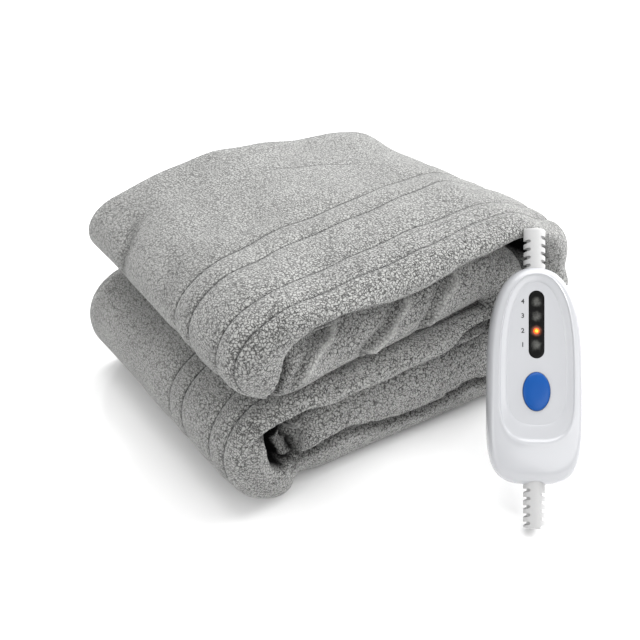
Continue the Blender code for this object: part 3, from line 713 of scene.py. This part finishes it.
# Rows of the surface: share of the way from one outline to the next, and height
SIDE_ROWS = ((0.0, PARTING), (0.004, 0.0022), (0.020, 0.0045), (0.045, 0.0063), (0.09, 0.0082),
             (0.15, 0.0097), (0.24, 0.0112), (0.36, 0.0123), (0.50, 0.0130), (0.68, 0.01345),
             (0.82, 0.0137), (0.90, 0.0140), (0.95, 0.01425), (1.0, 0.0142))
DISH_ROWS = ((0.05, 0.0139), (0.12, 0.0133), (0.22, 0.0129), (0.45, 0.0125), (0.68, 0.0121),
             (0.86, 0.0116), (0.95, 0.01125), (1.0, DISH_FLOOR))
BACK_ROWS = ((0.0, -PARTING), (0.004, -0.0026), (0.03, -0.0050), (0.07, -0.0074), (0.14, -0.0095),
             (0.24, -0.0113), (0.38, -0.0127), (0.54, -0.0134), (0.70, -0.0138), (0.90, -0.01397),
             (1.0, -BACK_DEPTH))
FRONT_INSIDE_ROWS = ((0.90, 0.0118), (0.45, 0.0112), (0.16, 0.0092), (0.04, 0.0060), (0.02, PARTING))
BACK_INSIDE_ROWS = ((1.0, WALL - BACK_DEPTH), (0.62, -0.0116), (0.30, -0.0100), (0.08, -0.0062),
                    (0.02, -PARTING))
GLOSS_WHITE = (0.408, 0.413, 0.430)


def body_y(share):
    """Height up the controller at a share of its body's length."""
    return LOWER_RELIEF + share * BODY_LENGTH


def outline(name, inset=0.0):
    """Evenly spaced points round an egg-shaped outline, anticlockwise from its right side."""
    bottom, widest, top, half_width, below, above = OUTLINES[name]
    angle = np.linspace(0.0, 2.0 * pi, 4001)
    upper = np.sin(angle) >= 0.0
    power_along = np.where(upper, above[0], below[0])
    power_across = np.where(upper, above[1], below[1])
    reach = np.where(upper, top - widest, widest - bottom) * BODY_LENGTH - inset
    across = (half_width - inset) * np.abs(np.cos(angle)) ** (2.0 / power_across)
    along = reach * np.abs(np.sin(angle)) ** (2.0 / power_along)
    x = np.where(np.cos(angle) >= 0.0, across, -across)
    y = body_y(widest) + np.where(upper, along, -along)
    length = np.concatenate([[0.0], np.cumsum(np.hypot(np.diff(x), np.diff(y)))])
    places = np.linspace(0.0, length[-1], AROUND, endpoint=False)
    return np.stack([np.interp(places, length, x), np.interp(places, length, y)], axis=-1)


def smooth_rows(rows):
    """More rows along a smooth curve through the given ones."""
    rows = np.array(rows)
    ends = np.concatenate([2 * rows[:1] - rows[1:2], rows, 2 * rows[-1:] - rows[-2:-1]])
    finer = []
    for before, start, end, after in zip(ends, ends[1:], ends[2:], ends[3:]):
        for t in ROW_SHARES:
            finer.append(0.5 * (2 * start + (end - before) * t
                                + (2 * before - 5 * start + 4 * end - after) * t ** 2
                                + (3 * start - before - 3 * end + after) * t ** 3))
    return finer + [rows[-1]]


def rings_between(first, last, rows, inset=0.0):
    """Rings from one outline to the next."""
    start, end = outline(first, inset), outline(last, inset)
    return [[(x, y, height) for x, y in start + (end - start) * share] for share, height in rows]


def closed_rings(name, rings, folded_at=None):
    """A closed mesh over a stack of rings; folded_at is the number of a shell's innermost ring."""
    mesh_maker = bmesh.new()
    loops = [[mesh_maker.verts.new(point) for point in ring] for ring in rings]

    def band(low, high):
        for point in range(len(low)):
            after = (point + 1) % len(low)
            mesh_maker.faces.new((low[point], low[after], high[after], high[point]))

    for number, (low, high) in enumerate(zip(loops, loops[1:])):
        if number == folded_at:
            mesh_maker.faces.new(low)
            mesh_maker.faces.new(high[::-1])
        else:
            band(low, high)
    if folded_at is None:
        mesh_maker.faces.new(loops[0][::-1])
        mesh_maker.faces.new(loops[-1])
    else:
        band(loops[-1], loops[0])
    bmesh.ops.recalc_face_normals(mesh_maker, faces=mesh_maker.faces)
    mesh = bpy.data.meshes.new(name)
    mesh_maker.to_mesh(mesh)
    mesh_maker.free()
    return mesh


def oval(half_width, half_length, count=72):
    """An oval outline, anticlockwise from its right side."""
    angles = [2.0 * pi * number / count for number in range(count)]
    return [(half_width * cos(angle), half_length * sin(angle)) for angle in angles]


def stadium(half_width, half_length, count=56):
    """A slot's outline: straight sides and round ends."""
    straight = half_length - half_width
    points = []
    for number in range(count):
        angle = 2.0 * pi * (number + 0.5) / count
        shift = straight if sin(angle) > 0.0 else -straight
        points.append((half_width * cos(angle), shift + half_width * sin(angle)))
    return points


def at_heights(points, *heights):
    """Rings: a flat outline at each height."""
    return [[(x, y, height) for x, y in points] for height in heights]


def shrinking_rings(half_width, half_length, rows, count=72):
    """Oval rings; each row is a share of the full size, and a height."""
    return [at_heights(oval(half_width * share, half_length * share, count), height)[0]
            for share, height in rows]


def place_on_controller(name, data, material, position, turn=Matrix()):
    """An object at a position up the controller, which leans on the blanket's front."""
    piece = add_object(name, data)
    piece.matrix_world = CONTROLLER_PLACE @ Matrix.Translation(position) @ turn
    piece.data.materials.append(material)
    return piece


def ring_piece(name, rings, material, position=(0.0, 0.0, 0.0), turn=Matrix(), folded_at=None):
    """A closed mesh over rings, in its place on the controller."""
    mesh = closed_rings(name, rings, folded_at)
    return place_on_controller(name, mesh, material, position, turn)


def carve(piece, tools, operation="DIFFERENCE"):
    """Cuts the tools out of the piece, or joins them to it, and removes them."""
    for tool in tools:
        boolean = piece.modifiers.new(tool.name, "BOOLEAN")
        boolean.operation = operation
        boolean.solver = "EXACT"
        boolean.object = tool
    bpy.context.view_layer.update()
    evaluated = piece.evaluated_get(bpy.context.evaluated_depsgraph_get())
    piece.data = bpy.data.meshes.new_from_object(evaluated)
    piece.modifiers.clear()
    for tool in tools:
        bpy.data.objects.remove(tool)


def shade(piece, sharp=35.0):
    """Smooth shading, broken at edges that turn more than so many degrees."""
    piece.data.shade_smooth()
    piece.data.set_sharp_from_angle(angle=radians(sharp))


def hand_in(piece, node, body="folded_blanket"):
    """Names the body that a piece rides on, and hides the node it replaces."""
    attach(piece, body)
    if node:
        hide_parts(node)


def moulded_material(name, colour, roughness, grain=0.00002, coat=0.3, specular=0.5):
    """Moulded plastic with a faintly uneven tint and gloss and a surface grain of so many metres."""
    material, tree, shader = new_material(name)
    place = add_node(tree, "ShaderNodeTexCoord").outputs["Object"]
    tint = noise(tree, 28.0, 2.0, place)["Fac"]
    low = tuple(value * 0.975 for value in colour)
    peel = noise(tree, 900.0, 1.0, place)["Fac"]
    bump = add_node(tree, "ShaderNodeBump", {"Height": peel, "Distance": grain, "Strength": 0.6})
    feed(tree, shader, {
        "Base Color": ramp(tree, tint, ((0.35, low), (0.65, colour))),
        "Roughness": calculate(tree, "MULTIPLY_ADD", tint, 0.10, roughness - 0.05),
        "Normal": bump.outputs["Normal"], "Specular IOR Level": specular,
        "Coat Weight": coat, "Coat Roughness": 0.12})
    return material


def seat_tools():
    """Round cutters for the strain reliefs' seats at both ends of the body."""
    seat = RELIEF_RADIUS + FIT
    length = RELIEF_SEAT + FIT
    tools = []
    for name, low in (("lower_seat", LOWER_RELIEF - CUTTER_SPARE), ("upper_seat", body_y(1.0) - length)):
        rings = at_heights(oval(seat, seat), 0.0, length + CUTTER_SPARE)
        tools.append(ring_piece(name, rings, white_gloss, (0.0, low, 0.0),
                                Matrix.Rotation(-pi / 2, 4, "X")))
    return tools


def face_tools():
    """Cutters for the window and the button in the dish's floor."""
    window_shape = stadium(WINDOW_WIDTH / 2 + FIT, WINDOW_LENGTH / 2 + FIT)
    button_shape = oval(BUTTON_WIDTH / 2 + FIT, BUTTON_LENGTH / 2 + FIT)
    tools = []
    for name, shape, share in (("window_opening", window_shape, WINDOW_HEIGHT),
                               ("button_opening", button_shape, BUTTON_HEIGHT)):
        rings = at_heights(shape, DISH_FLOOR - 2.0 * WALL, DISH_FLOOR + 2.0 * CUTTER_SPARE)
        tools.append(ring_piece(name, rings, white_gloss, (0.0, body_y(share), 0.0)))
    return tools


white_gloss = moulded_material("white gloss plastic", GLOSS_WHITE, 0.22)
front_rings = rings_between("body", "dish", smooth_rows(SIDE_ROWS))
front_rings += rings_between("dish", "floor", smooth_rows(DISH_ROWS))
innermost = len(front_rings) - 1
front_rings += rings_between("dish", "floor", [(1.0, DISH_FLOOR - WALL)], WALL / 2)
front_rings += rings_between("body", "dish", FRONT_INSIDE_ROWS, WALL)
front = ring_piece("controller_front", front_rings, white_gloss, folded_at=innermost)
carve(front, face_tools() + seat_tools())
shade(front)
hand_in(front, "housing_front")

back_rings = rings_between("body", "back", smooth_rows(BACK_ROWS))
innermost = len(back_rings) - 1
back_rings += rings_between("body", "back", BACK_INSIDE_ROWS, WALL)
back = ring_piece("controller_back", back_rings, white_gloss, folded_at=innermost)
carve(back, seat_tools())
shade(back)
hand_in(back, "housing_back")


# ==== Window and lamp ====
# A smoked insert, 50 x 11 mm, clipped in from behind; four lamps stand behind it.
# The second lamp from the bottom is lit amber and shows as a small dome.

WINDOW_RECESS = 0.0004
FLANGE = 0.0012             # how far window and button reach under the face
FLANGE_THICKNESS = 0.0012
FLANGE_TOP = DISH_FLOOR - WALL - FIT
LAMP_RADIUS = 0.0022
LAMP_HEIGHT = 0.702         # share of the body's length
LEVELS = (0.0218, 0.0111, 0.0, -0.0104)   # the four settings, up from the lit one
SPOT_RADIUS = 0.0050        # an unlit lamp seen through the smoked plastic
HALO_RADIUS = 0.0058        # the lit one's glow in it
SMOKE = (0.002, 0.002, 0.002)
UNLIT_LAMP = (0.085, 0.085, 0.080)


def disc_glow(tree, place, centre_y, radius):
    """1 at a spot's centre on the controller's axis, falling to 0 at its radius."""
    shifted = add_node(tree, "ShaderNodeVectorMath", {0: place, 1: (0.0, centre_y, 0.0)},
                       operation="SUBTRACT").outputs[0]
    flat = add_node(tree, "ShaderNodeVectorMath", {0: shifted, 1: (1.0, 1.0, 0.0)},
                    operation="MULTIPLY").outputs[0]
    length = add_node(tree, "ShaderNodeVectorMath", {0: flat}, operation="LENGTH").outputs["Value"]
    return add_node(tree, "ShaderNodeMapRange", {
        "Value": length, "From Min": 0.0, "From Max": radius, "To Min": 1.0, "To Max": 0.0},
        interpolation_type="SMOOTHSTEP").outputs[0]


def window_material():
    """Smoked plastic: pale spots where the lamps stand, and an amber halo round the lit one."""
    material, tree, shader = new_material("smoked window")
    place = add_node(tree, "ShaderNodeTexCoord").outputs["Object"]
    mottle = noise(tree, 330.0, 3.0, place, 0.6)["Fac"]
    lamp_y = body_y(LAMP_HEIGHT) - body_y(WINDOW_HEIGHT)
    spots = 0.0
    for level in LEVELS:
        spots = calculate(tree, "MAXIMUM", disc_glow(tree, place, lamp_y + level, SPOT_RADIUS), spots)
    shown = calculate(tree, "MULTIPLY", calculate(tree, "MULTIPLY_ADD", spots, 0.75, 0.25), mottle)
    halo = calculate(tree, "POWER", disc_glow(tree, place, lamp_y, HALO_RADIUS), 2.0)
    feed(tree, shader, {
        "Base Color": ramp(tree, shown, ((0.14, SMOKE), (0.50, UNLIT_LAMP))),
        "Emission Strength": calculate(tree, "MULTIPLY", halo, 0.8),
        "Emission Color": (0.95, 0.16, 0.015, 1.0), "Roughness": 0.30,
        "Specular IOR Level": 0.12, "Coat Weight": 0.02, "Coat Roughness": 0.08})
    return material


def lamp_material():
    """A lit amber lens, yellow at its middle and red at its rim."""
    material, tree, shader = new_material("amber lamp")
    place = add_node(tree, "ShaderNodeTexCoord").outputs["Object"]
    core = disc_glow(tree, place, 0.0, LAMP_RADIUS * 1.25)
    glow = ramp(tree, core, ((0.0, (0.55, 0.03, 0.005)), (0.40, (0.90, 0.11, 0.004)),
                             (0.75, (0.95, 0.28, 0.010)), (0.95, (1.0, 0.70, 0.04))))
    feed(tree, shader, {"Emission Color": glow, "Base Color": glow, "Emission Strength": 1.1,
                        "Roughness": 0.25})
    return material


window_face = DISH_FLOOR - WINDOW_RECESS
window_rows = [(-FLANGE, FLANGE_TOP - FLANGE_THICKNESS), (-FLANGE, FLANGE_TOP), (0.0, FLANGE_TOP),
               (0.0, window_face - 0.0006), (0.0002, window_face - 0.0002), (0.0007, window_face),
               (0.0012, window_face)]
window_rings = [at_heights(stadium(WINDOW_WIDTH / 2 - inset, WINDOW_LENGTH / 2 - inset), height)[0]
                for inset, height in window_rows]
window = ring_piece("smoked_window", window_rings, window_material(),
                    (0.0, body_y(WINDOW_HEIGHT), 0.0))
pocket_rings = at_heights(oval(LAMP_RADIUS + FIT / 2, LAMP_RADIUS + FIT / 2),
                          window_face - 0.0018, window_face + 0.002)
pocket = ring_piece("lamp_pocket", pocket_rings, white_gloss, (0.0, body_y(LAMP_HEIGHT), 0.0))
carve(window, [pocket])
shade(window, 50.0)
hand_in(window, "display_window")

lamp_rows = [(share, window_face + height) for share, height in (
    (1.0, -0.0015), (1.0, -0.0002), (0.96, 0.0001), (0.84, 0.0004), (0.64, 0.0006),
    (0.40, 0.00075), (0.12, 0.0008))]
lamp_rings = shrinking_rings(LAMP_RADIUS, LAMP_RADIUS, lamp_rows)
lamp_lens = ring_piece("lamp_lens", lamp_rings, lamp_material(), (0.0, body_y(LAMP_HEIGHT), 0.0))
shade(lamp_lens, 50.0)
hand_in(lamp_lens, "power_lamp")


# ==== Button ====
# A domed oval key of blue plastic, 20 x 29 mm, pressed 1.2 mm into the dish.
# A flange under the face keeps it in.

# The dome: share of the key's outline, and height over the dish's floor
BUTTON_ROWS = ((1.0, 0.0000), (1.0, 0.0004), (0.985, 0.0009), (0.95, 0.0013), (0.86, 0.0018),
               (0.74, 0.0021), (0.58, 0.0024), (0.40, 0.00255), (0.20, 0.0026), (0.04, 0.0026))
BLUE = (0.002, 0.062, 0.265)

button_blue = moulded_material("blue gloss plastic", BLUE, 0.32, coat=0.0, specular=0.22)
flange_shape = oval(BUTTON_WIDTH / 2 + FLANGE, BUTTON_LENGTH / 2 + FLANGE, 96)
button_rings = at_heights(flange_shape, -WALL - FIT - FLANGE_THICKNESS, -WALL - FIT)
button_rings += shrinking_rings(BUTTON_WIDTH / 2, BUTTON_LENGTH / 2,
                                [(1.0, -WALL - FIT), *smooth_rows(BUTTON_ROWS)], 96)
button = ring_piece("press_button", button_rings, button_blue,
                    (0.0, body_y(BUTTON_HEIGHT), DISH_FLOOR))
shade(button, 50.0)
hand_in(button, "power_button", "button")


# ==== Level numbers ====
# Plain numbers printed in dark grey beside the window, one to each lamp, 4 at the top.
# The print is a thin film on the dish's floor.

NUMBER_SIZE = 0.0048        # gives numbers 3 mm tall
NUMBER_EDGE = -0.0090       # the right edge of the print
PRINT_THICKNESS = 0.00004
STROKE_SPREAD = 0.00012     # thickens the strokes
INK_DARK = (0.015, 0.015, 0.017)
INK_PALE = (0.025, 0.025, 0.027)

ink = uneven_material("grey print", 3000.0, 1.0, (INK_DARK, INK_PALE), {"Roughness": 0.5})
for number, level in zip((4, 3, 2, 1), LEVELS):
    figure = bpy.data.curves.new(f"level_number_{number}", "FONT")
    figure.body = str(number)
    figure.size = NUMBER_SIZE
    figure.align_x, figure.align_y = "RIGHT", "CENTER"
    figure.extrude = PRINT_THICKNESS
    figure.offset = STROKE_SPREAD
    printed = place_on_controller(f"level_number_{number}", figure, ink,
                                  (NUMBER_EDGE, body_y(LAMP_HEIGHT) + level, DISH_FLOOR))
    hand_in(printed, None)


# ==== Strain reliefs ====
# Slotted sleeves of soft white plastic at both ends of the body, each seated 7 mm deep in it.
# The slots are cut in as far as a core inside; both sleeves end closed.

SLOT_PITCH = 0.00605
SLOT_WIDTH = 0.0024
SLOT_DEPTH = 0.0042
SLOT_SLANT = radians(14.0)
SLOT_SPREAD = 0.62          # half its width at the outside, as a share of SLOT_WIDTH
SLOT_CUTTER = 0.008         # size of the cutter: outwards from a slot's inner end, and up and down
SLOT_REACH = 0.020
CORE_RADIUS = 0.0056
FIRST_SLOTS = (0.0026, 0.0056)   # first slot on the left and right, from the body
SOFT_WHITE = (0.405, 0.405, 0.405)


def slot_shape(side):
    """A slot's section, open to one side: a round inner end and slightly spreading walls."""
    inner, half = RELIEF_RADIUS - SLOT_DEPTH, SLOT_WIDTH / 2
    points = [(inner + half * (1.0 - sin(angle)), half * cos(angle))
              for angle in np.linspace(0.0, pi, 13)]
    points += [(inner + SLOT_CUTTER, way * SLOT_SPREAD * SLOT_WIDTH) for way in (-1.0, 1.0)]
    return [(side * x, y) for x, y in points][::int(side)]


def make_sleeve(name, base, way, length, slots, material):
    """A sleeve along the controller's Y; way is +1 up from the base, -1 down."""
    rows = [(1.0, -RELIEF_SEAT), (1.0, length - 0.0016), (0.98, length - 0.0009),
            (0.93, length - 0.0005), (0.86, length - 0.0001), (0.80, length)]
    place, tilt = (0.0, base, 0.0), Matrix.Rotation(-way * pi / 2, 4, "X")
    rings = shrinking_rings(RELIEF_RADIUS, RELIEF_RADIUS, rows)
    sleeve = ring_piece(name, rings, material, place, tilt)
    tools = []
    for side, first in zip((-1.0, 1.0), FIRST_SLOTS):
        for number in range(slots):
            tool_name = f"{name}_slot_{number}_{'left' if side < 0 else 'right'}"
            rings = at_heights(slot_shape(side), -SLOT_REACH, SLOT_REACH)
            tools.append(ring_piece(tool_name, rings, material,
                                    (0.0, base + way * (first + number * SLOT_PITCH), 0.0),
                                    Matrix.Rotation(-side * SLOT_SLANT, 4, "Z")))
    carve(sleeve, tools)
    rings = at_heights(oval(CORE_RADIUS, CORE_RADIUS), -RELIEF_SEAT + 0.001, length - 0.002)
    core = ring_piece("core", rings, material, place, tilt)
    carve(sleeve, [core], "UNION")
    shade(sleeve, 40.0)
    return sleeve


white_soft = moulded_material("white soft plastic", SOFT_WHITE, 0.50, grain=0.00004, coat=0.0)
hand_in(make_sleeve("lower_sleeve", LOWER_RELIEF, -1.0, LOWER_RELIEF, 5, white_soft),
        "lower_relief")
hand_in(make_sleeve("upper_sleeve", body_y(1.0), 1.0, UPPER_RELIEF, 4, white_soft),
        "upper_relief")


# ==== Floor, light and camera ====
# A plain pale polished floor, with soft light from above and from three sides.
# The camera looks down on the controller's corner of the stack.

FLOOR_REACH = 6.0
FLOOR_DROP = 0.0004         # keeps the floor just clear of the pieces that stand on it
SOFTBOXES = (
    # name, place, size, power
    ("overhead softbox", (0.30, 0.16, 1.6), (1.5, 1.5), 26.5),
    ("left softbox", (-1.6, 0.2, 0.5), (1.2, 1.2), 8.5),
    ("front softbox", (-0.1, -1.9, 0.8), (1.6, 1.0), 13.0),
    ("right softbox", (1.7, -0.4, 0.9), (1.0, 1.0), 40.0),
)
SOFTBOX_AIM = Vector((0.0, 0.0, 0.1))
ROOM_LIGHT = 0.86
CAMERA_TURN = radians(36.0)
CAMERA_HEIGHT = radians(36.5)
CAMERA_DISTANCE = 1.04
CAMERA_AIM = Vector((-0.0054, 0.0039, 0.062))
FOCAL_LENGTH = 70.3         # mm, on a sensor 36 mm wide

floor_corners = [(x * FLOOR_REACH, y * FLOOR_REACH, 0.0) for x, y in ((-1, -1), (1, -1), (1, 1), (-1, 1))]
floor_mesh = bpy.data.meshes.new("floor")
floor_mesh.from_pydata(floor_corners, [], [(0, 1, 2, 3)])
floor_mesh.materials.append(uneven_material("pale studio floor", 8.0, 2.0, (0.89, 0.91),
                                            {"Roughness": 0.10, "IOR": 1.9}))
floor = add_object("floor", floor_mesh)
floor.location.z = -FLOOR_DROP

for name, place, size, power in SOFTBOXES:
    lamp = bpy.data.lights.new(name, "AREA")
    lamp.shape = "RECTANGLE"
    lamp.size, lamp.size_y = size
    lamp.energy = power
    light = add_object(name, lamp)
    light.location = place
    light.rotation_euler = (SOFTBOX_AIM - Vector(place)).to_track_quat("-Z", "Y").to_euler()

world = bpy.data.worlds.new("studio")
world.use_nodes = True
feed(world.node_tree, world.node_tree.nodes["Background"],
     {"Color": (1.0, 1.0, 1.0, 1.0), "Strength": ROOM_LIGHT})
bpy.context.scene.world = world

towards = Vector((sin(CAMERA_TURN) * cos(CAMERA_HEIGHT), cos(CAMERA_TURN) * cos(CAMERA_HEIGHT),
                  -sin(CAMERA_HEIGHT)))
lens = bpy.data.cameras.new("camera")
lens.sensor_width = 36.0
lens.lens = FOCAL_LENGTH
lens.clip_start = 0.01
camera = add_object("camera", lens)
camera.location = CAMERA_AIM - CAMERA_DISTANCE * towards
camera.rotation_euler = towards.to_track_quat("-Z", "Y").to_euler()
bpy.context.scene.camera = camera
bpy.context.scene.view_settings.view_transform = "Standard"
